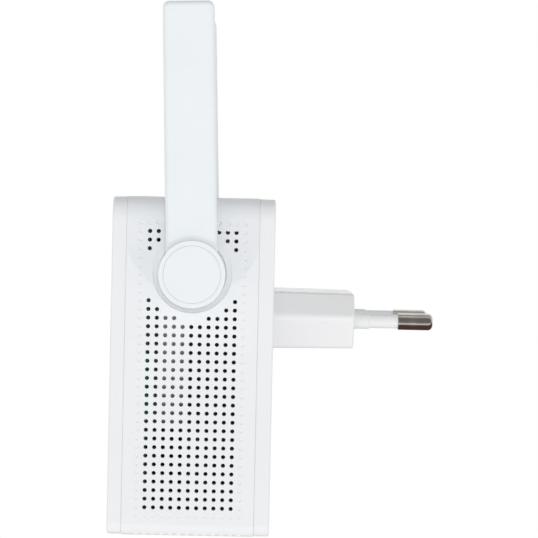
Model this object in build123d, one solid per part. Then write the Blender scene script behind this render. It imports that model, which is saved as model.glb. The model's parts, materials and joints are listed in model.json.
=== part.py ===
from build123d import *
import math
import os

# Plug-in wifi range extender. Millimetres. Front is -Y, the wall is +Y, up is +Z.
# The origin is the centre of the plug's face, midway between its two pins.

# ---- plug -------------------------------------------------------------------
PIN_SPACING = 18.6
PIN_LENGTH = 19.0
PIN_RADIUS = 2.0
PIN_NOSE = 1.15
PIN_STEM_RADIUS = 1.2
PIN_TAIL = 9.0
SLEEVE_LENGTH = 10.7
SLEEVE_RADIUS = 1.7
COLLAR_LENGTH = 3.9
COLLAR_RADIUS = 1.95
COLLAR_SEAT = 0.6
PLUG_LENGTH = 19.3
PLUG_HEIGHT = 13.5
PLUG_WIDTH = 35.8
PLUG_FLAT = 26.4
PLUG_RIDGE_Z = 1.0
PLUG_DRAFT = 0.8
PLUG_FACE_WALL = 6.0
PLUG_CAVITY = (27.0, 8.6)

# ---- case -------------------------------------------------------------------
BODY_WIDTH = 55.3
BODY_TOP = 28.4
BODY_BOTTOM = -50.0
FRONT_STRIP = 3.4
MIDDLE_DEPTH = 30.6
REAR_STRIP = 3.7
PROUD = 0.15
WALL = 2.0
TOP_CORNER = 5.0
BOTTOM_CORNER = 2.8
SMALLEST_CORNER = 0.5
SEAM_BEVEL = 0.2
COVER_ROUND = 0.5
LIP_GAP = 0.15
LIP_WALL = 1.2
LIP_REACH = 2.5

REAR = -PLUG_LENGTH
REAR_SEAM = REAR - REAR_STRIP
FRONT_SEAM = REAR_SEAM - MIDDLE_DEPTH
FRONT = FRONT_SEAM - FRONT_STRIP
MIDDLE_Y = (REAR_SEAM + FRONT_SEAM) / 2
SIDE = BODY_WIDTH / 2 + PROUD
UNDERSIDE = BODY_BOTTOM - PROUD

# ---- vents ------------------------------------------------------------------
PITCH = 2.0
HOLE_RADIUS = 0.49
COLUMNS = 13
ROWS = 35
MIDDLE_COLUMN = 6
PIVOT_ROW = 6
PIVOT_ROW_DROP = 0.4
BLANK_COLUMNS = 5.6
BLANK_ROWS = 5.3
DIMPLE_RADIUS = 0.55
DIMPLE_DEPTH = 0.25
TOP_DIMPLE_DEPTH = 0.4
BOTTOM_DIMPLE_DEPTH = 0.15
UNDERSIDE_FIRST = 9
UNDERSIDE_LAST = 12
NICK_UP = 0.35
NICK_FLOOR = 26.0

# ---- pivot, pocket and scoop in each side -----------------------------------
PIVOT_Z = 11.0
RECESS = 2.2
POCKET_RADIUS = 9.2
SEAT_RADIUS = 7.9
SEAT_STEP = 0.15
SCOOP_RIM = 16.1
SCOOP_RADIUS = (SCOOP_RIM**2 + RECESS**2) / (2 * RECESS)
SCOOP_END_Z = PIVOT_Z + 10.5
PIVOT_WALL = 2.4
BORE_CLEARANCE = 0.05

# ---- aerial, in distances outward from the case's side face -----------------
AERIAL_GAP = 0.4
AERIAL_THICK = 7.0
AERIAL_REACH = 62.4
AERIAL_ROOT_WIDTH = 12.0
AERIAL_TIP_WIDTH = 11.8
AERIAL_CORNER = 1.6
AERIAL_EDGE = 1.3
AERIAL_WALL = 1.2
AERIAL_LEAN = 1.9
DISC_RADIUS = 7.7
DISC_PROUD = 1.2
COVE_RADIUS = 9.0
CAP_RADIUS = 6.6
CAP_GAP = 0.03
CAP_THICK = 1.4
BARREL_RADIUS = 4.0
BARREL_BORE = 2.2
BARREL_END = 7.8
WASHER_THICK = 0.4
GROOVE_RADIUS = 3.4
CLIP_THICK = 0.6
CLIP_RADIUS = 5.4

# ---- boards -----------------------------------------------------------------
BOARD = 1.6
MAIN_FRONT = -50.0
MAIN_BACK = MAIN_FRONT + BOARD
MAIN_SIZE = (44.0, 68.0)
MAIN_Z = -12.5
SUPPLY_BACK = -25.8
SUPPLY_FRONT = SUPPLY_BACK - BOARD
SUPPLY_SIZE = (42.0, 56.0)
SUPPLY_Z = -10.0
CAN_SIZE = (32.0, 34.0)
CAN_Z = -9.0
CAN_TOP = MAIN_BACK + 2.6
FINS = 3
FIN_THICK = 1.2
SHEET_Y = -39.6
SHEET_THICK = 0.4
FLANGE_X = 23.0
FLANGE_Z = (-44.0, 4.5)

# ---- buttons, lens and jack -------------------------------------------------
BUTTON_RADIUS = 4.5
BUTTON_Z = -32.0
BUTTON_GAP = 0.15
BUTTON_PROUD = 0.4
RESET_RADIUS = 1.4
RESET_X = 13.4
RESET_Y = -45.8
LENS_SIZE = (16.0, 2.4)
LENS_Z = 8.0
LAMP_SPACING = 5.0
JACK_SIZE = (16.0, 13.4, 21.0)
JACK_BOTTOM = UNDERSIDE + 0.3
JACK_MOUTH = (11.8, 8.4)
JACK_CAVITY = 15.0

# ---- fixings ----------------------------------------------------------------
CASE_SCREWS = [(sx * 18.5, z) for sx in (-1, 1) for z in (24.6, -46.0)]
BOSS_RADIUS = 2.9
BOSS_DEPTH = 5.2
PILOT_DEPTH = 4.6
SCREW_REACH = 4.2
SCREW_RADIUS = 1.25
HEAD_RADIUS = 2.3
BOARD_SCREWS = [(sx * 19.0, z) for sx in (-1, 1) for z in (16.0, -41.0)]


def block(x, y, z):
    """A box from its (low, high) pair along each axis."""
    size = [high - low for low, high in (x, y, z)]
    middle = [(low + high) / 2 for low, high in (x, y, z)]
    return Pos(*middle) * Box(*size)


def centred(width, height, y, x=0.0, z=0.0):
    """A box of this width and height about (x, z), between two depths."""
    return block((x - width / 2, x + width / 2), y, (z - height / 2, z + height / 2))


def rod_x(radius, x0, x1, y=MIDDLE_Y, z=PIVOT_Z):
    """A cylinder along X, on the aerial's pivot axis unless told otherwise."""
    turned = Rot(0, 90, 0) * Cylinder(radius, abs(x1 - x0))
    return Pos((x0 + x1) / 2, y, z) * turned


def rod_y(radius, y0, y1, x=0.0, z=0.0):
    turned = Rot(90, 0, 0) * Cylinder(radius, abs(y1 - y0))
    return Pos(x, (y0 + y1) / 2, z) * turned


def rod_z(radius, z0, z1, x=0.0, y=0.0):
    return Pos(x, y, (z0 + z1) / 2) * Cylinder(radius, abs(z1 - z0))


def case_block(grow, back, front, square_top=False):
    """The case's rounded outline, grown or shrunk all round, between two depths."""
    low, high = BODY_BOTTOM - grow, BODY_TOP + grow
    centre = Vector(0, back, (low + high) / 2)
    plane = Plane(centre, x_dir=(1, 0, 0), z_dir=(0, -1, 0))
    outline = plane * Rectangle(BODY_WIDTH + 2 * grow, high - low)
    top, bottom = (max(corner + grow, SMALLEST_CORNER) for corner in (TOP_CORNER, BOTTOM_CORNER))
    if not square_top:
        outline = fillet(outline.vertices().group_by(Axis.Z)[-1], top)
    outline = fillet(outline.vertices().group_by(Axis.Z)[0], bottom)
    return extrude(outline, back - front)


# ---- middle housing ---------------------------------------------------------
def scoop(side, wall=0.0):
    """A long round hollow for one side of the case, open upward, with a round lower end."""
    radius = SCOOP_RADIUS + wall
    x = side * (SIDE - RECESS + SCOOP_RADIUS)
    trough = rod_z(radius, SCOOP_END_Z, BODY_TOP + 20, x, MIDDLE_Y)
    return trough + Pos(x, MIDDLE_Y, SCOOP_END_Z) * Sphere(radius)


def recess_at(y, z):
    """How deep the scoop is at a point of the side face."""
    below = min(z - SCOOP_END_Z, 0.0)
    across = SCOOP_RADIUS**2 - y**2 - below**2
    return max(math.sqrt(max(across, 0.0)) - (SCOOP_RADIUS - RECESS), 0.0)


def pocket(side):
    """The round pocket for the hub: a flat seat, in a floor that carries the scoop's curve on down."""
    x = side * (SIDE - RECESS + SEAT_STEP + SCOOP_RADIUS)
    trough = rod_z(SCOOP_RADIUS, PIVOT_Z - POCKET_RADIUS - 1, PIVOT_Z + POCKET_RADIUS + 1, x, MIDDLE_Y)
    well = rod_x(POCKET_RADIUS, side * (SIDE - RECESS - 1), side * (SIDE + 1)) & trough
    return well + rod_x(SEAT_RADIUS, side * (SIDE - RECESS), side * (SIDE + 1))


def grid_places():
    """Every vent place in a side as (column, row), with whether the hole goes through."""
    for row in range(ROWS):
        for column in range(COLUMNS):
            edge = row in (0, ROWS - 1) or column in (0, COLUMNS - 1)
            across = (column - MIDDLE_COLUMN) / BLANK_COLUMNS
            up = (row - PIVOT_ROW) / BLANK_ROWS
            if edge or math.hypot(across, up) > 1:
                yield column, row, not edge


def dimple(place, inward, dip):
    """A ball that leaves a shallow round dimple in a face. Its seam is turned away from that face."""
    centre = Vector(*place) - Vector(*inward) * (DIMPLE_RADIUS - dip)
    return Plane(centre, x_dir=Vector(*inward) * -1, z_dir=(0, 1, 0)) * Sphere(DIMPLE_RADIUS)


def side_vents(side):
    """Through holes, and the ring of shallow dimples that frames them."""
    tools = []
    for column, row, through in grid_places():
        y = (column - MIDDLE_COLUMN) * PITCH
        z = PIVOT_Z - PIVOT_ROW_DROP - (row - PIVOT_ROW) * PITCH
        if through:
            tools.append(rod_x(HOLE_RADIUS, side * (SIDE + 1), side * (SIDE - 6), MIDDLE_Y + y, z))
        else:
            face = side * (SIDE - recess_at(y, z))
            depth = {0: TOP_DIMPLE_DEPTH, ROWS - 1: BOTTOM_DIMPLE_DEPTH}.get(row, DIMPLE_DEPTH)
            tools.append(dimple((face, MIDDLE_Y + y, z), (-side, 0, 0), depth))
    return tools


def underside_vents():
    """Holes and dimples in the underside, and a nick in its round edge at the end of each row."""
    tools = []
    for side in (-1, 1):
        for column in range(COLUMNS):
            y = MIDDLE_Y + (column - MIDDLE_COLUMN) * PITCH
            tools.append(rod_x(HOLE_RADIUS, side * NICK_FLOOR, side * SIDE, y, UNDERSIDE + NICK_UP))
        for i in range(UNDERSIDE_FIRST, UNDERSIDE_LAST + 1):
            for column in range(COLUMNS):
                x = side * i * PITCH
                y = MIDDLE_Y + (column - MIDDLE_COLUMN) * PITCH
                if i == UNDERSIDE_LAST or column in (0, COLUMNS - 1):
                    tools.append(dimple((x, y, UNDERSIDE), (0, 0, 1), DIMPLE_DEPTH))
                else:
                    tools.append(rod_z(HOLE_RADIUS, UNDERSIDE - 1, UNDERSIDE + 4, x, y))
    return tools


def scooped_block():
    """The housing's outside. Each scoop runs up and over the top, which is rounded along it."""
    outer = case_block(PROUD, REAR_SEAM, FRONT_SEAM, square_top=True)
    outer -= scoop(1) + scoop(-1)
    top = outer.faces().sort_by(Axis.Z)[-1]
    brims = [edge for edge in top.edges() if abs(edge.center().X) > BODY_WIDTH / 4]
    return fillet(brims, TOP_CORNER + PROUD)


def middle_housing():
    outer = scooped_block()
    hollow = case_block(PROUD - WALL, REAR_SEAM + 1, FRONT_SEAM - 1)
    for side in (-1, 1):
        hollow -= scoop(side, WALL)
        inner = side * (SIDE - RECESS - PIVOT_WALL)
        hollow -= rod_x(POCKET_RADIUS + WALL, side * SIDE, inner)
    for x, z in CASE_SCREWS:
        hollow -= rod_y(BOSS_RADIUS, REAR_SEAM + 2, REAR_SEAM - BOSS_DEPTH, x, z)
    shell = outer - hollow
    for side in (-1, 1):
        shell -= pocket(side)
        bore = BARREL_RADIUS + BORE_CLEARANCE
        shell -= rod_x(bore, side * (SIDE - 1), side * (SIDE - 8))
    for x, z in CASE_SCREWS:
        shell -= rod_y(SCREW_RADIUS, REAR_SEAM + 1, REAR_SEAM - PILOT_DEPTH, x, z)
    jack_y = (MAIN_BACK - 0.2, MAIN_BACK + JACK_SIZE[1] + 0.2)
    shell -= block((-JACK_SIZE[0] / 2 - 0.2, JACK_SIZE[0] / 2 + 0.2), jack_y, (UNDERSIDE - 1, UNDERSIDE + 4))
    shell -= rod_z(RESET_RADIUS + BUTTON_GAP, UNDERSIDE - 1, UNDERSIDE + 4, RESET_X, RESET_Y)
    return shell - (side_vents(1) + side_vents(-1) + underside_vents())


# ---- covers -----------------------------------------------------------------
def lip(seam, direction):
    """A thin edge that slips inside the middle housing, along the top, the bottom and the lower sides."""
    root, far = sorted((seam - direction * 0.6, seam + direction * LIP_REACH))
    outer = case_block(PROUD - WALL - LIP_GAP, far, root)
    inner = case_block(PROUD - WALL - LIP_GAP - LIP_WALL, far + 1, root - 1)
    ring = outer - inner
    keep = centred(26, 20, (root - 1, far + 1), 0, BODY_TOP)
    keep += centred(60, 30, (root - 1, far + 1), 0, -24)
    keep += centred(16, 20, (root - 1, far + 1), 0, BODY_BOTTOM) if direction < 0 else Part()
    return ring & keep


def rounded_cover(back, front, facing):
    """A cover's outside: rounded round its face, and bevelled where it meets the housing."""
    solid = case_block(0, back, front)
    near, far = (0, -1) if facing < 0 else (-1, 0)
    solid = fillet(solid.faces().sort_by(Axis.Y)[near].edges(), COVER_ROUND)
    return chamfer(solid.faces().sort_by(Axis.Y)[far].edges(), SEAM_BEVEL)


def front_cover():
    outer = rounded_cover(FRONT_SEAM, FRONT, -1)
    hollow = case_block(-WALL, FRONT_SEAM + 1, FRONT + WALL)
    cover = outer - hollow + lip(FRONT_SEAM, 1)
    cover -= rod_y(BUTTON_RADIUS + BUTTON_GAP, FRONT - 1, FRONT + 4, 0, BUTTON_Z)
    return cover - lens_outline(0.1, FRONT - 1, FRONT + 4)


def rear_cover():
    outer = rounded_cover(REAR, REAR_SEAM, 1)
    hollow = case_block(-WALL, REAR - WALL, REAR_SEAM - 1)
    cover = outer - hollow
    for x, z in CASE_SCREWS:
        cover += rod_y(BOSS_RADIUS, REAR - 1, REAR_SEAM, x, z)
    cover += centred(26, 1.2, (REAR_SEAM - LIP_REACH, REAR - 1), 0, BODY_TOP + PROUD - WALL - 0.8)
    for x, z in CASE_SCREWS:
        cover -= rod_y(HEAD_RADIUS + 0.2, REAR + 1, REAR - 1.9, x, z)
        cover -= rod_y(SCREW_RADIUS + 0.1, REAR, REAR_SEAM - 1, x, z)
    return cover - plug_block(0, REAR_SEAM - 1, REAR + 1, 0)


# ---- plug -------------------------------------------------------------------
def plug_block(shrink, back, front, draft):
    """The plug's six-sided outline, rounded at its corners, between two depths."""
    half, flat, tall = PLUG_WIDTH / 2, PLUG_FLAT / 2, PLUG_HEIGHT / 2
    right = [(flat, -tall), (half, PLUG_RIDGE_Z), (flat, tall)]
    points = right + [(-x, z) for x, z in reversed(right)]
    plane = Plane((0, back, 0), x_dir=(-1, 0, 0), z_dir=(0, 1, 0))
    outline = plane * Polygon(*points, align=None)
    outline = fillet(outline.vertices(), 1.6)
    if shrink:
        outline = offset(outline, -shrink)
    return extrude(outline, front - back, taper=draft)


def plug_body():
    flange_back = REAR_SEAM - 1.5
    body = plug_block(0, REAR, 0, PLUG_DRAFT)
    rim = body.faces().sort_by(Axis.Y)[-1].edges()
    body = fillet(rim, 0.6)
    body += plug_block(0.05, flange_back, REAR, 0)
    body += centred(PLUG_WIDTH + 4, PLUG_HEIGHT + 3, (flange_back, REAR - WALL - 0.1))
    body -= centred(*PLUG_CAVITY, (flange_back - 1, -PLUG_FACE_WALL))
    for side in (-1, 1):
        x = side * PIN_SPACING / 2
        body -= rod_y(SLEEVE_RADIUS, -PLUG_FACE_WALL + 3, 1, x)
        body -= rod_y(COLLAR_RADIUS, -COLLAR_SEAT, 1, x)
        body -= rod_y(PIN_STEM_RADIUS, -PLUG_FACE_WALL - 1, 1, x)
    return body


def plug_pin(side):
    x = side * PIN_SPACING / 2
    stem = rod_y(PIN_STEM_RADIUS, -PIN_TAIL, SLEEVE_LENGTH + 1, x)
    tip = rod_y(PIN_RADIUS, SLEEVE_LENGTH, PIN_LENGTH, x)
    return stem + fillet(tip.edges().sort_by(Axis.Y)[-1], PIN_NOSE)


def pin_sleeve(side):
    x = side * PIN_SPACING / 2
    tube = rod_y(SLEEVE_RADIUS, -PLUG_FACE_WALL + 3, SLEEVE_LENGTH, x)
    collar = rod_y(COLLAR_RADIUS, -COLLAR_SEAT, COLLAR_LENGTH, x)
    collar = chamfer(collar.edges().sort_by(Axis.Y)[-1], 0.2)
    return tube + collar - rod_y(PIN_STEM_RADIUS, -PLUG_FACE_WALL, SLEEVE_LENGTH + 1, x)


def contact_leaves():
    """A springy strip from each pin's tail to the supply board."""
    leaves = []
    for side in (-1, 1):
        x = side * PIN_SPACING / 2
        foot = centred(4.0, 5.0, (SUPPLY_BACK, SUPPLY_BACK + 0.5), x)
        upright = centred(4.0, 0.6, (SUPPLY_BACK, -PIN_TAIL), x, -1.5)
        pad = centred(4.0, 3.6, (-PIN_TAIL - 0.6, -PIN_TAIL), x)
        leaves.append(foot + upright + pad)
    return leaves


# ---- aerial (built on the right, mirrored for the left) ----------------------
def aerial_outline(inset):
    """The paddle's outline about the pivot: a long strip with a square end and small round corners."""
    root, tip = AERIAL_ROOT_WIDTH / 2 - inset, AERIAL_TIP_WIDTH / 2 - inset
    top = AERIAL_REACH - inset
    strip = Polygon((-root, 0), (root, 0), (tip, top), (-tip, top), align=None)
    corners = strip.vertices().group_by(Axis.Y)[-1]
    return fillet(corners, AERIAL_CORNER - inset * 0.6)


def aerial_strip(inset, near, far):
    """The outline above, from one distance outward of the side face to another."""
    plane = Plane((SIDE + near, MIDDLE_Y, PIVOT_Z), x_dir=(0, 1, 0), z_dir=(1, 0, 0))
    return extrude(plane * aerial_outline(inset), far - near)


def hub(radius, near, far):
    return rod_x(radius, SIDE + near, SIDE + far)


def long_edges(strip, at):
    """The edges of a strip's flat face, apart from the one across the pivot."""
    face = strip.faces().sort_by(Axis.X)[at]
    return [e for e in face.edges() if e.center().Z > PIVOT_Z + 1]


def aerial_cove():
    """A hollow round that sweeps from the paddle's face up to the disc."""
    base, rise = SIDE + AERIAL_GAP + AERIAL_THICK, DISC_PROUD
    arc = ThreePointArc(
        (COVE_RADIUS, 0),
        (DISC_RADIUS + 0.35 * (COVE_RADIUS - DISC_RADIUS), 0.3 * rise),
        (DISC_RADIUS, rise),
    )
    wall = Polyline((DISC_RADIUS, rise), (0, rise), (0, 0), (COVE_RADIUS, 0))
    section = make_face([*arc.edges(), *wall.edges()])
    solid = revolve(Plane.XZ * section, Axis.Z)
    ring = Pos(base, MIDDLE_Y, PIVOT_Z) * (Rot(0, 90, 0) * solid)
    return ring & aerial_strip(0.4, AERIAL_THICK, AERIAL_THICK + 4)


def aerial_outer_shell():
    split = AERIAL_GAP + AERIAL_THICK / 2
    face = AERIAL_GAP + AERIAL_THICK
    paddle = aerial_strip(0, split, face)
    paddle = fillet(long_edges(paddle, -1), AERIAL_EDGE)
    disc = hub(DISC_RADIUS, split, face + DISC_PROUD)
    disc = fillet(disc.edges().sort_by(Axis.X)[-1], 0.25)
    shell = paddle + disc + aerial_cove()
    shell -= aerial_strip(AERIAL_WALL, split - 1, face - AERIAL_WALL) - hub(DISC_RADIUS + 2, 0, 12)
    shell -= hub(DISC_RADIUS - AERIAL_WALL, split - 1, face - AERIAL_WALL)
    shell -= centred_aerial_gate(split - 1, face - AERIAL_WALL)
    return shell - hub(CAP_RADIUS, face + DISC_PROUD - CAP_THICK, face + DISC_PROUD + 1)


def centred_aerial_gate(near, far):
    """The way between the hub's hollow and the paddle's hollow."""
    plane = Plane((SIDE + near, MIDDLE_Y, PIVOT_Z), x_dir=(0, 1, 0), z_dir=(1, 0, 0))
    half = AERIAL_ROOT_WIDTH / 2 - AERIAL_WALL
    gate = Polygon((-half + 1, 4), (half - 1, 4), (half - 1, 12), (-half + 1, 12), align=None)
    return extrude(plane * gate, far - near)


def aerial_inner_shell():
    split = AERIAL_GAP + AERIAL_THICK / 2
    paddle = aerial_strip(0, AERIAL_GAP, split)
    paddle = fillet(long_edges(paddle, 0), AERIAL_EDGE)
    shell = paddle + hub(DISC_RADIUS, -RECESS + WASHER_THICK, split)
    shell -= aerial_strip(AERIAL_WALL, AERIAL_GAP + AERIAL_WALL, split + 1) - hub(DISC_RADIUS + 2, -5, 12)
    shell -= hub(DISC_RADIUS - AERIAL_WALL, AERIAL_GAP + AERIAL_WALL, split + 1)
    shell -= centred_aerial_gate(AERIAL_GAP + AERIAL_WALL, split + 1)
    shell += hub(BARREL_RADIUS, -BARREL_END, AERIAL_GAP + AERIAL_WALL)
    groove = clip_place()
    shell -= hub(BARREL_RADIUS + 1, *groove) - hub(GROOVE_RADIUS, *groove)
    return shell - hub(BARREL_BORE, -BARREL_END - 1, split + 1)


def clip_place():
    outer = -(RECESS + PIVOT_WALL + 0.15)
    return outer - CLIP_THICK, outer


def pivot_cap():
    """The disc's face, a round cap a hair smaller than its seat."""
    top = AERIAL_GAP + AERIAL_THICK + DISC_PROUD
    cap = hub(CAP_RADIUS - CAP_GAP, top - CAP_THICK, top)
    return fillet(cap.edges().sort_by(Axis.X)[-1], 0.08)


def friction_washer():
    ring = hub(DISC_RADIUS - 0.4, -RECESS, -RECESS + WASHER_THICK)
    return ring - hub(BARREL_RADIUS + 0.1, -RECESS - 1, 1)


def retaining_clip():
    near, far = clip_place()
    ring = hub(CLIP_RADIUS, near, far) - hub(GROOVE_RADIUS, near - 1, far + 1)
    mouth = block((SIDE + near - 1, SIDE + far + 1), (MIDDLE_Y - 2.4, MIDDLE_Y + 2.4), (PIVOT_Z - 9, PIVOT_Z))
    return ring - mouth


def radiator():
    """The copper-clad strip that radiates, lying along the paddle's hollow."""
    middle = SIDE + AERIAL_GAP + AERIAL_THICK / 2
    return block((middle - 0.4, middle + 0.4), (MIDDLE_Y - 3.6, MIDDLE_Y + 3.6), (PIVOT_Z + 13, PIVOT_Z + 60))


def tube(points, radii, radius):
    path = FilletPolyline(*points, radius=radii)
    start = Plane(path @ 0, z_dir=path % 0)
    return sweep(start * Circle(radius), path=path)


def aerial_lead():
    """The thin coaxial lead from the hinge up to the radiator's foot."""
    middle = SIDE + AERIAL_GAP + AERIAL_THICK / 2
    inside = SIDE - BARREL_END
    points = [(inside, MIDDLE_Y, PIVOT_Z), (middle, MIDDLE_Y, PIVOT_Z), (middle, MIDDLE_Y, PIVOT_Z + 13)]
    return tube(points, 3.0, 0.6)


def aerial_pigtail():
    """The same lead carried on from the hinge to its socket on the main board."""
    inside = SIDE - BARREL_END
    points = [
        (inside, MIDDLE_Y, PIVOT_Z),
        (inside - 6.0, MIDDLE_Y, PIVOT_Z),
        (inside - 6.0, MAIN_BACK + 5.0, PIVOT_Z + 9.0),
        (inside - 6.0, MAIN_BACK + 1.6, PIVOT_Z + 9.0),
    ]
    return tube(points, 2.0, 0.6)


def leaning(shape):
    """Tips an aerial forward about its pivot by the lean that it rests at."""
    return shape.rotate(Axis((0, MIDDLE_Y, PIVOT_Z), (1, 0, 0)), AERIAL_LEAN)


# ---- buttons and lens -------------------------------------------------------
def pairing_button():
    cap = rod_y(BUTTON_RADIUS, FRONT - BUTTON_PROUD, FRONT + WALL, 0, BUTTON_Z)
    cap = fillet(cap.edges().sort_by(Axis.Y)[0], 0.35)
    flange = rod_y(BUTTON_RADIUS + 1.0, FRONT + WALL + 0.1, FRONT + WALL + 1.1, 0, BUTTON_Z)
    stem = rod_y(1.5, FRONT + WALL, MAIN_FRONT - 2.6, 0, BUTTON_Z)
    neck = rod_y(BUTTON_RADIUS, FRONT + WALL - 0.1, FRONT + WALL + 0.2, 0, BUTTON_Z)
    return cap + neck + flange + stem


def tact_switch(x, z, front, back, upright):
    """A small push switch: a square body with a round plunger, pressed along Y or, upright, along Z."""
    if upright:
        body = block((x - 3, x + 3), (back, 2 * RESET_Y - back), (z, z + 3.4))
        return body + rod_z(1.0, z - 0.8, z, x, RESET_Y)
    body = centred(6.0, 6.0, (front - 1.6, front), x, z)
    return body + rod_y(1.6, front - 2.2, front - 1.6, x, z)


def reset_button():
    pin = rod_z(RESET_RADIUS, UNDERSIDE + 0.2, UNDERSIDE + 3.0, RESET_X, RESET_Y)
    flange = rod_z(RESET_RADIUS + 0.9, UNDERSIDE + WALL + 0.1, UNDERSIDE + WALL + 0.9, RESET_X, RESET_Y)
    return pin + flange


def lens_outline(grow, front, back):
    plane = Plane((0, back, LENS_Z), x_dir=(1, 0, 0), z_dir=(0, -1, 0))
    width, height = LENS_SIZE[0] + 2 * grow, LENS_SIZE[1] + 2 * grow
    return extrude(plane * SlotOverall(width, height), back - front)


def status_lens():
    """A clear bar in the front, with a light guide behind it for each lamp."""
    lens = lens_outline(0, FRONT - 0.05, FRONT + WALL) + lens_outline(0.8, FRONT + WALL, FRONT + WALL + 0.8)
    for i in (-1, 0, 1):
        lens += rod_y(0.9, FRONT + WALL, MAIN_FRONT - 1.2, i * LAMP_SPACING, LENS_Z)
    return lens


# ---- boards and what is on them ---------------------------------------------
def main_board():
    board = centred(*MAIN_SIZE, (MAIN_FRONT, MAIN_BACK), 0, MAIN_Z)
    for x, z in BOARD_SCREWS:
        board -= rod_y(1.3, MAIN_FRONT - 1, MAIN_BACK + 1, x, z)
    return board


def status_lamps():
    places = [i * LAMP_SPACING for i in (-1, 0, 1)]
    return [centred(1.6, 1.6, (MAIN_FRONT - 0.9, MAIN_FRONT), x, LENS_Z) for x in places]


def shield_can():
    width, height = CAN_SIZE
    can = centred(width, height, (MAIN_BACK, CAN_TOP), 0, CAN_Z)
    return can - centred(width - 0.8, height - 0.8, (MAIN_BACK - 1, CAN_TOP - 0.4), 0, CAN_Z)


def heat_sink():
    """A finned plate on the shield can. Its fins run upright and end just short of the insulation."""
    width, height = CAN_SIZE
    sink = centred(width, height, (CAN_TOP, CAN_TOP + 1.4), 0, CAN_Z)
    for i in range(-FINS, FINS + 1):
        x = i * (width - FIN_THICK) / (2 * FINS)
        sink += centred(FIN_THICK, height, (CAN_TOP, SHEET_Y - 0.4), x, CAN_Z)
    return sink


def main_chip():
    return centred(9, 9, (MAIN_BACK, MAIN_BACK + 1.1), 0, 2)


def thermal_pad():
    return centred(8.4, 8.4, (MAIN_BACK + 1.1, MAIN_BACK + 2.2), 0, 2)


def aerial_sockets():
    x = SIDE - BARREL_END - 6.0
    sockets = []
    for side in (-1, 1):
        base = centred(2.6, 2.6, (MAIN_BACK, MAIN_BACK + 0.6), side * x, PIVOT_Z + 9)
        sockets.append(base + rod_y(0.9, MAIN_BACK + 0.6, MAIN_BACK + 1.6, side * x, PIVOT_Z + 9))
    return sockets


def ethernet_jack():
    """A network socket that opens downward, with its latch slot towards the back."""
    y0 = MAIN_BACK
    width, deep, tall = JACK_SIZE
    mouth, high = JACK_MOUTH
    shell = block((-width / 2, width / 2), (y0, y0 + deep), (JACK_BOTTOM, JACK_BOTTOM + tall))
    reach = (JACK_BOTTOM - 1, JACK_BOTTOM + JACK_CAVITY)
    shell -= block((-mouth / 2, mouth / 2), (y0 + 1.6, y0 + 1.6 + high), reach)
    shell -= block((-3.1, 3.1), (y0 + 1.6 + high - 0.1, y0 + 1.6 + high + 1.5), reach)
    return shell


def jack_contacts():
    """Eight gold wires that slant out of the jack's front wall."""
    y0 = MAIN_BACK + 1.6
    wires = []
    for i in range(8):
        x = (i - 3.5) * 1.02
        slant = Plane((x, y0, JACK_BOTTOM + 4.0), x_dir=(1, 0, 0), z_dir=Vector(0, 0.35, 1))
        wires.append(extrude(slant * Rectangle(0.4, 0.3, align=(Align.CENTER, Align.MIN)), 8.0))
    return wires


def insulating_sheet():
    """The folded black sheet round the mains side: a flat wall, and a flange down each side."""
    depth = (SHEET_Y, SHEET_Y + SHEET_THICK)
    sheet = centred(26, 48, depth, 0, -4) + centred(2 * FLANGE_X, 26, depth, 0, -15)
    for side in (-1, 1):
        x = sorted((side * (FLANGE_X - SHEET_THICK), side * FLANGE_X))
        sheet += block(x, (SHEET_Y, SUPPLY_BACK), FLANGE_Z)
    return sheet


def supply_board():
    return centred(*SUPPLY_SIZE, (SUPPLY_FRONT, SUPPLY_BACK), 0, SUPPLY_Z)


def transformer():
    """A ferrite core round a taped winding on a plastic former."""
    y = (SUPPLY_FRONT - 10.0, SUPPLY_FRONT)
    core = centred(15, 13, (y[0], y[1] - 1.0), 10, -6)
    window = centred(9.6, 14, (y[0] + 2.4, y[1] - 3.4), 10, -6)
    return core - window


def transformer_winding():
    return centred(9.2, 15, (SUPPLY_FRONT - 7.4, SUPPLY_FRONT - 3.6), 10, -6)


def mains_capacitor():
    can = rod_z(4.0, -12.0, 4.0, -11.0, SUPPLY_FRONT - 4.3)
    return fillet(can.edges().sort_by(Axis.Z)[-1], 0.6)


def output_capacitors():
    cans = [rod_y(3.1, SUPPLY_FRONT - 9.0, SUPPLY_FRONT, x, -25.5) for x in (4.0, 12.0)]
    return [fillet(can.edges().sort_by(Axis.Y)[0], 0.5) for can in cans]


def fuse_resistor():
    return rod_z(1.6, 7.0, 15.0, -14.0, SUPPLY_FRONT - 1.8)


def bridge_rectifier():
    return centred(6.4, 4.8, (SUPPLY_FRONT - 2.4, SUPPLY_FRONT), -2.0, 11.0)


def mains_choke():
    ring = rod_y(3.6, SUPPLY_FRONT - 7.0, SUPPLY_FRONT, -12.0, -22.0)
    return ring - rod_y(1.2, SUPPLY_FRONT - 8.0, SUPPLY_FRONT + 1, -12.0, -22.0)


def board_header():
    """The row of pins that carries power from the supply board to the main board."""
    pins = []
    for i in range(4):
        pins.append(centred(0.64, 0.64, (MAIN_BACK, SUPPLY_FRONT), -18.4 + i * 2.54, -30.5))
    return pins


def case_screws():
    screws = []
    for x, z in CASE_SCREWS:
        head = rod_y(HEAD_RADIUS, REAR - 0.4, REAR - 1.9, x, z)
        head = fillet(head.edges().sort_by(Axis.Y)[-1], 0.4)
        head -= rod_y(0.9, REAR + 1, REAR - 1.3, x, z) & centred(2, 0.6, (REAR - 3, REAR + 1), x, z)
        screws.append(head + rod_y(SCREW_RADIUS, REAR - 1.9, REAR_SEAM - SCREW_REACH, x, z))
    return screws


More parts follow.
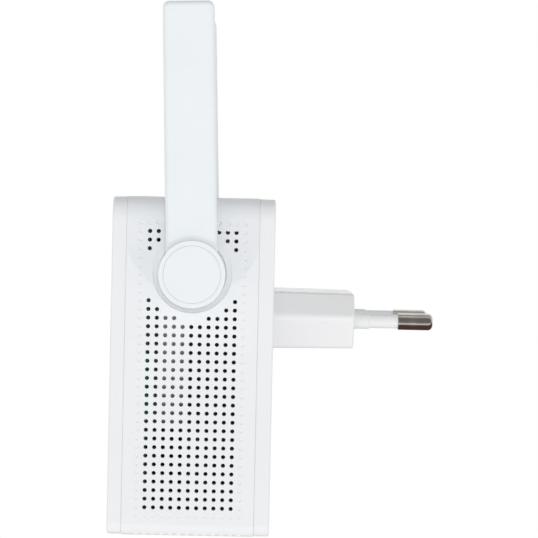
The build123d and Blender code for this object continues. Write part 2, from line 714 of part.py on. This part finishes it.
def board_screws():
    screws = []
    for x, z in BOARD_SCREWS:
        head = rod_y(2.0, MAIN_BACK, MAIN_BACK + 1.2, x, z)
        screws.append(head + rod_y(1.2, MAIN_FRONT - 3.0, MAIN_BACK, x, z))
    return screws


def write(name, shape):
    if isinstance(shape, list):
        shape = Compound(children=[Part() + piece for piece in shape])
    export_step(shape, f"parts/{name}.step")


def main():
    os.makedirs("parts", exist_ok=True)
    write("middle_housing", middle_housing())
    write("front_cover", front_cover())
    write("rear_cover", rear_cover())
    write("plug_body", plug_body())
    for side, word in ((1, "right"), (-1, "left")):
        write(f"{word}_plug_pin", plug_pin(side))
        write(f"{word}_pin_sleeve", pin_sleeve(side))
    aerial = {
        "aerial_outer_shell": aerial_outer_shell,
        "aerial_inner_shell": aerial_inner_shell,
        "pivot_cap": pivot_cap,
        "friction_washer": friction_washer,
        "retaining_clip": retaining_clip,
        "aerial_radiator": radiator,
        "aerial_lead": aerial_lead,
    }
    for name, make in aerial.items():
        right = leaning(make())
        write(f"right_{name}", right)
        write(f"left_{name}", mirror(right, about=Plane.YZ))
    pigtail = aerial_pigtail()
    write("right_aerial_pigtail", pigtail)
    write("left_aerial_pigtail", mirror(pigtail, about=Plane.YZ))
    write("pairing_button", pairing_button())
    write("pairing_switch", tact_switch(0, BUTTON_Z, MAIN_FRONT, MAIN_BACK, False))
    write("reset_button", reset_button())
    reset_z = UNDERSIDE + 4.3
    write("reset_switch", tact_switch(RESET_X, reset_z, MAIN_FRONT, MAIN_BACK, True))
    for make in (
        status_lens, main_board, status_lamps, shield_can, heat_sink, main_chip, thermal_pad,
        aerial_sockets, ethernet_jack, jack_contacts, insulating_sheet, supply_board,
        transformer, transformer_winding, mains_capacitor, output_capacitors,
        fuse_resistor, bridge_rectifier, mains_choke, board_header, contact_leaves,
        case_screws, board_screws,
    ):
        write(make.__name__, make())


main()
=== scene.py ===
"""The look of the wifi range extender: materials for every piece, a pale studio, and the camera.

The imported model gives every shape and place. Front is -Y, the wall is +Y, up is +Z, in metres.
"""
import json
import math

import bpy
from mathutils import Matrix, Vector


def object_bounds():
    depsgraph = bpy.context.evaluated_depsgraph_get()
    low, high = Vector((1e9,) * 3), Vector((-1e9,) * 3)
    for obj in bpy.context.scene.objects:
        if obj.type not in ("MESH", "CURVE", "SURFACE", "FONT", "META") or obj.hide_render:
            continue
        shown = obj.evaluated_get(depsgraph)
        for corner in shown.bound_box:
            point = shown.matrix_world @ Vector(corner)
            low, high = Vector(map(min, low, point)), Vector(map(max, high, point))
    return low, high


MM = 0.001

# ---- camera: close to level, a little above the top of the case, facing its right-hand side ----
CAMERA_PLACE = Vector((0.5971, -0.0293, 0.0295))
CAMERA_YAW = math.radians(-0.873)
CAMERA_PITCH = math.radians(-1.718)
CAMERA_ROLL = math.radians(1.261)
CAMERA_LENS = 164.92
SENSOR = 36.0

# ---- studio: a white tent that dims overhead, a key light, and a pale floor far below ----------
FLOOR_DROP = 0.45
FLOOR_REACH = 3.0
FLOOR_GLOW = 0.45
# Brightness from straight down, 0, to straight up, 1.
TENT = [(0.0, 1.0), (0.50, 1.0), (0.60, 1.0), (0.72, 0.66), (0.85, 0.42), (1.0, 0.36)]
TENT_STRENGTH = 0.77
KEY_FROM = Vector((1.0, 0.03, 0.05))
KEY_STRENGTH = 1.0
KEY_SPREAD = math.radians(6)
# What glossy surfaces see round the Y axis, as (degrees up from +X, colour): dark, bright and grey cards.
MIRROR_BANDS = [
    (-180, (1.0, 1.0, 1.0)), (-166, (0.85, 0.85, 0.85)), (-150, (0.10, 0.055, 0.05)),
    (-58, (0.12, 0.06, 0.055)), (-44, (0.16, 0.12, 0.11)), (-34, (0.95, 0.95, 0.94)),
    (-26, (1.0, 1.0, 1.0)), (-16, (0.24, 0.23, 0.21)), (50, (0.19, 0.185, 0.17)),
    (66, (0.62, 0.61, 0.57)), (88, (0.66, 0.65, 0.62)), (96, (0.12, 0.12, 0.12)),
    (106, (0.55, 0.55, 0.55)), (122, (1.0, 1.0, 1.0)), (180, (1.0, 1.0, 1.0)),
]

# ---- finishes: the size and strength of what varies over a surface ----------------
CLOUD_SCALE = 90.0
CLOUD_SHADE = 0.985
GLOSS_SCALE = 260.0
GLOSS_SPREAD = 0.05
GRAIN_STRENGTH = 0.6
GLOW_DEPTH = 0.6 * MM
TARNISH_SCALE = 400.0
TARNISH_SHADE = 0.86
TARNISH_ROUGHNESS = (0.7, 1.4)
DRAWN_SCALE = 1200.0
DRAWN_STRETCH = 0.04
DRAWN_DEPTH = 0.004 * MM
TRACE_WIDTH = 0.035
TRACE_DEPTH = 0.03 * MM
RESIST_SHADE = 0.85


def nodes_of(material):
    tree = material.node_tree
    return tree.nodes, tree.links


def new_material(name, colour, roughness, **sockets):
    """A Principled material with its plain values set on the shader's own sockets."""
    material = bpy.data.materials.new(name)
    material.use_nodes = True
    shader = material.node_tree.nodes["Principled BSDF"]
    shader.inputs["Base Color"].default_value = (*colour, 1.0)
    shader.inputs["Roughness"].default_value = roughness
    for key, value in sockets.items():
        shader.inputs[key.replace("_", " ")].default_value = value
    return material, shader


def object_noise(material, scale, detail=2.0, rough=0.5):
    """Noise in the object's own metres, so its grain is the same size on every piece."""
    nodes, links = nodes_of(material)
    place = nodes.new("ShaderNodeTexCoord")
    noise = nodes.new("ShaderNodeTexNoise")
    noise.inputs["Scale"].default_value = scale
    noise.inputs["Detail"].default_value = detail
    noise.inputs["Roughness"].default_value = rough
    links.new(place.outputs["Object"], noise.inputs["Vector"])
    return noise


def ramp(material, source, low, high, at=(0.35, 0.65)):
    """Two colours, one at each end of a noise."""
    nodes, links = nodes_of(material)
    blend = nodes.new("ShaderNodeValToRGB")
    blend.color_ramp.elements[0].position, blend.color_ramp.elements[1].position = at
    blend.color_ramp.elements[0].color = (*low, 1.0)
    blend.color_ramp.elements[1].color = (*high, 1.0)
    links.new(source.outputs["Fac"], blend.inputs["Fac"])
    return blend


def bump(material, shader, source, distance, strength=1.0):
    nodes, links = nodes_of(material)
    node = nodes.new("ShaderNodeBump")
    node.inputs["Distance"].default_value = distance
    node.inputs["Strength"].default_value = strength
    links.new(source.outputs["Fac"], node.inputs["Height"])
    links.new(node.outputs["Normal"], shader.inputs["Normal"])


def span(material, source, low, high):
    """Maps a noise to a range of numbers, such as roughness."""
    nodes, links = nodes_of(material)
    node = nodes.new("ShaderNodeMapRange")
    node.inputs["To Min"].default_value = low
    node.inputs["To Max"].default_value = high
    links.new(source.outputs["Fac"], node.inputs["Value"])
    return node


def shade(colour, factor):
    return tuple(c * factor for c in colour)


def moulded(name, colour, roughness, grain, grain_depth, gloss=0.5, glow=0.0):
    """Moulded plastic: a faint mottling, uneven gloss and a fine spark-eroded grain."""
    material, shader = new_material(name, colour, roughness)
    shader.inputs["Specular IOR Level"].default_value = gloss
    links = material.node_tree.links
    if glow:
        shader.inputs["Subsurface Weight"].default_value = glow
        shader.inputs["Subsurface Radius"].default_value = (1.0, 0.95, 0.9)
        shader.inputs["Subsurface Scale"].default_value = GLOW_DEPTH
    cloud = object_noise(material, CLOUD_SCALE, 3.0)
    tint = ramp(material, cloud, shade(colour, CLOUD_SHADE), colour)
    links.new(tint.outputs["Color"], shader.inputs["Base Color"])
    gloss_noise = object_noise(material, GLOSS_SCALE)
    rough = span(material, gloss_noise, roughness - GLOSS_SPREAD, roughness + GLOSS_SPREAD)
    links.new(rough.outputs["Result"], shader.inputs["Roughness"])
    bump(material, shader, object_noise(material, grain, 2.0, 0.6), grain_depth, GRAIN_STRENGTH)
    return material


def plated(name, colour, roughness):
    """Bright metal with fine drawn lines along the part and a little tarnish."""
    material, shader = new_material(name, colour, roughness, Metallic=1.0)
    links = material.node_tree.links
    nodes = material.node_tree.nodes
    cloud = object_noise(material, TARNISH_SCALE, 3.0)
    tint = ramp(material, cloud, shade(colour, TARNISH_SHADE), colour)
    links.new(tint.outputs["Color"], shader.inputs["Base Color"])
    rough = span(material, cloud, *(roughness * part for part in TARNISH_ROUGHNESS))
    links.new(rough.outputs["Result"], shader.inputs["Roughness"])
    stretch = nodes.new("ShaderNodeMapping")
    stretch.inputs["Scale"].default_value = (1.0, DRAWN_STRETCH, 1.0)
    lines = object_noise(material, DRAWN_SCALE, 2.0)
    place = lines.inputs["Vector"].links[0].from_socket
    links.new(place, stretch.inputs["Vector"])
    links.new(stretch.outputs["Vector"], lines.inputs["Vector"])
    bump(material, shader, lines, DRAWN_DEPTH, 0.5)
    return material


def board(name, colour, trace, scale):
    """Solder resist with slightly raised lighter traces."""
    material, shader = new_material(name, colour, 0.4)
    nodes, links = nodes_of(material)
    place = nodes.new("ShaderNodeTexCoord")
    brick = nodes.new("ShaderNodeTexBrick")
    brick.inputs["Scale"].default_value = scale
    brick.inputs["Mortar Size"].default_value = TRACE_WIDTH
    brick.inputs["Color1"].default_value = (*colour, 1.0)
    brick.inputs["Color2"].default_value = (*shade(colour, RESIST_SHADE), 1.0)
    brick.inputs["Mortar"].default_value = (*trace, 1.0)
    turn = nodes.new("ShaderNodeMapping")
    turn.inputs["Rotation"].default_value = (math.radians(90), 0.0, 0.0)
    links.new(place.outputs["Object"], turn.inputs["Vector"])
    links.new(turn.outputs["Vector"], brick.inputs["Vector"])
    links.new(brick.outputs["Color"], shader.inputs["Base Color"])
    bump(material, shader, brick, TRACE_DEPTH, 0.4)
    return material


def make_materials():
    """One material for each of the record's slots."""
    white = (0.870, 0.886, 0.905)
    return {
        "case_white": moulded("case_white", white, 0.30, 3000.0, 0.003 * MM, 0.45, 0.08),
        "aerial_white": moulded("aerial_white", (0.872, 0.912, 0.940), 0.36, 2600.0, 0.003 * MM, 0.45, 0.08),
        "button_white": moulded("button_white", (0.855, 0.870, 0.885), 0.40, 2600.0, 0.003 * MM, 0.45, 0.08),
        "sleeve_white": moulded("sleeve_white", (0.855, 0.870, 0.885), 0.22, 1500.0, 0.002 * MM, 0.5, 0.1),
        "plug_nickel": plated("plug_nickel", (0.63, 0.61, 0.585), 0.16),
        "lens_clear": moulded("lens_clear", (0.80, 0.82, 0.84), 0.25, 1500.0, 0.002 * MM, 0.5, 0.3),
        "lamp_white": moulded("lamp_white", (0.92, 0.90, 0.78), 0.2, 1500.0, 0.002 * MM),
        "board_green": board("board_green", (0.03, 0.19, 0.09), (0.08, 0.33, 0.17), 180.0),
        "board_tan": board("board_tan", (0.55, 0.40, 0.20), (0.62, 0.50, 0.30), 120.0),
        "tin_plate": plated("tin_plate", (0.66, 0.66, 0.65), 0.3),
        "spring_steel": plated("spring_steel", (0.42, 0.43, 0.45), 0.28),
        "spring_brass": plated("spring_brass", (0.72, 0.55, 0.27), 0.26),
        "gold_plate": plated("gold_plate", (0.86, 0.66, 0.28), 0.18),
        "screw_zinc": plated("screw_zinc", (0.60, 0.61, 0.63), 0.3),
        "part_black": moulded("part_black", (0.022, 0.022, 0.024), 0.55, 3000.0, 0.01 * MM),
        "jack_black": moulded("jack_black", (0.03, 0.03, 0.033), 0.42, 3000.0, 0.006 * MM),
        "sleeve_black": moulded("sleeve_black", (0.028, 0.028, 0.034), 0.26, 900.0, 0.004 * MM),
        "sleeve_grey": moulded("sleeve_grey", (0.30, 0.32, 0.36), 0.45, 2000.0, 0.006 * MM),
        "ferrite_black": moulded("ferrite_black", (0.06, 0.06, 0.065), 0.6, 1800.0, 0.02 * MM),
        "tape_yellow": moulded("tape_yellow", (0.76, 0.58, 0.08), 0.35, 1200.0, 0.006 * MM),
        "pad_grey": moulded("pad_grey", (0.46, 0.48, 0.52), 0.8, 1500.0, 0.02 * MM),
        "washer_white": moulded("washer_white", (0.78, 0.78, 0.76), 0.6, 2000.0, 0.01 * MM),
        "sheet_black": moulded("sheet_black", (0.03, 0.03, 0.032), 0.45, 1200.0, 0.006 * MM),
        "sink_grey": moulded("sink_grey", (0.78, 0.79, 0.80), 0.45, 2200.0, 0.008 * MM),
        "plug_white": moulded("plug_white", (0.880, 0.884, 0.894), 0.16, 3200.0, 0.003 * MM, 0.5, 0.08),
        "lead_grey": moulded("lead_grey", (0.26, 0.26, 0.27), 0.5, 2500.0, 0.006 * MM),
    }


def dress(frame):
    """Gives every CAD node the material of its slot."""
    materials = make_materials()
    for entry in frame["record"]["subparts"]:
        obj = frame["nodes"][entry["node"]]
        material = materials[entry["material_slot"]]
        if obj.data.materials:
            for i in range(len(obj.data.materials)):
                obj.data.materials[i] = material
        else:
            obj.data.materials.append(material)


def add_camera():
    data = bpy.data.cameras.new("camera")
    camera = bpy.data.objects.new("camera", data)
    bpy.context.scene.collection.objects.link(camera)
    bpy.context.scene.camera = camera
    data.lens, data.sensor_width = CAMERA_LENS, SENSOR
    data.clip_start, data.clip_end = 0.01, 10.0
    facing = Matrix(((0, 0, 1), (1, 0, 0), (0, 1, 0)))
    for angle, axis in ((CAMERA_YAW, "Y"), (CAMERA_PITCH, "X"), (CAMERA_ROLL, "Z")):
        facing = facing @ Matrix.Rotation(angle, 3, axis)
    camera.matrix_world = Matrix.Translation(CAMERA_PLACE) @ facing.to_4x4()


def add_key():
    """One distant light from the side that the camera is on, kept out of mirror-like reflections."""
    data = bpy.data.lights.new("key", "SUN")
    data.energy, data.angle = KEY_STRENGTH, KEY_SPREAD
    lamp = bpy.data.objects.new("key", data)
    lamp.rotation_euler = KEY_FROM.to_track_quat("Z", "Y").to_euler()
    lamp.visible_glossy = False
    bpy.context.scene.collection.objects.link(lamp)


def set_stops(node, stops):
    """Fills a colour ramp from (position, colour) pairs."""
    elements = node.color_ramp.elements
    while len(elements) < len(stops):
        elements.new(0.5)
    for element, (position, colour) in zip(elements, stops):
        element.position = position
        element.color = (*colour, 1.0)


def add_world():
    """An even tent for diffuse light, banded cards for mirror-like metal, and plain white behind."""
    world = bpy.data.worlds.new("surround")
    world.use_nodes = True
    tree = world.node_tree
    nodes, links = tree.nodes, tree.links
    back = nodes["Background"]

    def math_node(operation, *values):
        node = nodes.new("ShaderNodeMath")
        node.operation = operation
        for socket, value in zip(node.inputs, values):
            if hasattr(value, "is_linked"):
                links.new(value, socket)
            else:
                socket.default_value = value
        return node.outputs["Value"]

    place = nodes.new("ShaderNodeTexCoord")
    split = nodes.new("ShaderNodeSeparateXYZ")
    links.new(place.outputs["Generated"], split.inputs["Vector"])
    x, z = split.outputs["X"], split.outputs["Z"]

    tent = nodes.new("ShaderNodeValToRGB")
    set_stops(tent, [(at, (grey, grey, grey)) for at, grey in TENT])
    links.new(math_node("MULTIPLY_ADD", z, 0.5, 0.5), tent.inputs["Fac"])
    even = nodes.new("ShaderNodeVectorMath")
    even.operation = "SCALE"
    links.new(tent.outputs["Color"], even.inputs[0])
    even.inputs["Scale"].default_value = TENT_STRENGTH

    bands = nodes.new("ShaderNodeValToRGB")
    set_stops(bands, [(angle / 360 + 0.5, colour) for angle, colour in MIRROR_BANDS])
    turn = math_node("ARCTAN2", z, x)
    links.new(math_node("MULTIPLY_ADD", turn, 0.5 / math.pi, 0.5), bands.inputs["Fac"])

    path = nodes.new("ShaderNodeLightPath")
    glossy = nodes.new("ShaderNodeMix")
    glossy.data_type = "RGBA"
    links.new(path.outputs["Is Glossy Ray"], glossy.inputs["Factor"])
    links.new(even.outputs["Vector"], glossy.inputs["A"])
    links.new(bands.outputs["Color"], glossy.inputs["B"])
    seen = nodes.new("ShaderNodeMix")
    seen.data_type = "RGBA"
    links.new(path.outputs["Is Camera Ray"], seen.inputs["Factor"])
    links.new(glossy.outputs["Result"], seen.inputs["A"])
    seen.inputs["B"].default_value = (1.0, 1.0, 1.0, 1.0)
    links.new(seen.outputs["Result"], back.inputs["Color"])
    bpy.context.scene.world = world


def add_floor(low):
    """A pale floor, well below an object that a wall socket holds up."""
    z = low.z - FLOOR_DROP
    corners = [(x * FLOOR_REACH, y * FLOOR_REACH, z) for x, y in ((-1, -1), (1, -1), (1, 1), (-1, 1))]
    mesh = bpy.data.meshes.new("floor")
    mesh.from_pydata(corners, [], [(0, 1, 2, 3)])
    floor = bpy.data.objects.new("floor", mesh)
    bpy.context.scene.collection.objects.link(floor)
    material = moulded("floor_white", (0.95, 0.95, 0.95), 0.9, 300.0, 0.02 * MM, 0.0)
    shader = material.node_tree.nodes["Principled BSDF"]
    shader.inputs["Emission Color"].default_value = (1.0, 1.0, 1.0, 1.0)
    shader.inputs["Emission Strength"].default_value = FLOOR_GLOW
    floor.data.materials.append(material)
    floor.visible_glossy = False


def add_studio(low):
    add_world()
    add_floor(low)
    add_key()
    view = bpy.context.scene.view_settings
    view.view_transform, view.look = "Standard", "None"


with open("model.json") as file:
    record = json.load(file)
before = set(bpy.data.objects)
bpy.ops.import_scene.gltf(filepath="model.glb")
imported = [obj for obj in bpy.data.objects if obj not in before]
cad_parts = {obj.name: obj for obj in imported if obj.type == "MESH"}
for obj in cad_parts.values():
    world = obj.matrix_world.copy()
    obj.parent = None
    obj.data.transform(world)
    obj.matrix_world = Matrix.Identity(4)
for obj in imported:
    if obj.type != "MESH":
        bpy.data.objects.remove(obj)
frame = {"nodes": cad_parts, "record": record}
cad_low, cad_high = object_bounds()
add_camera()
dress(frame)
add_studio(cad_low)
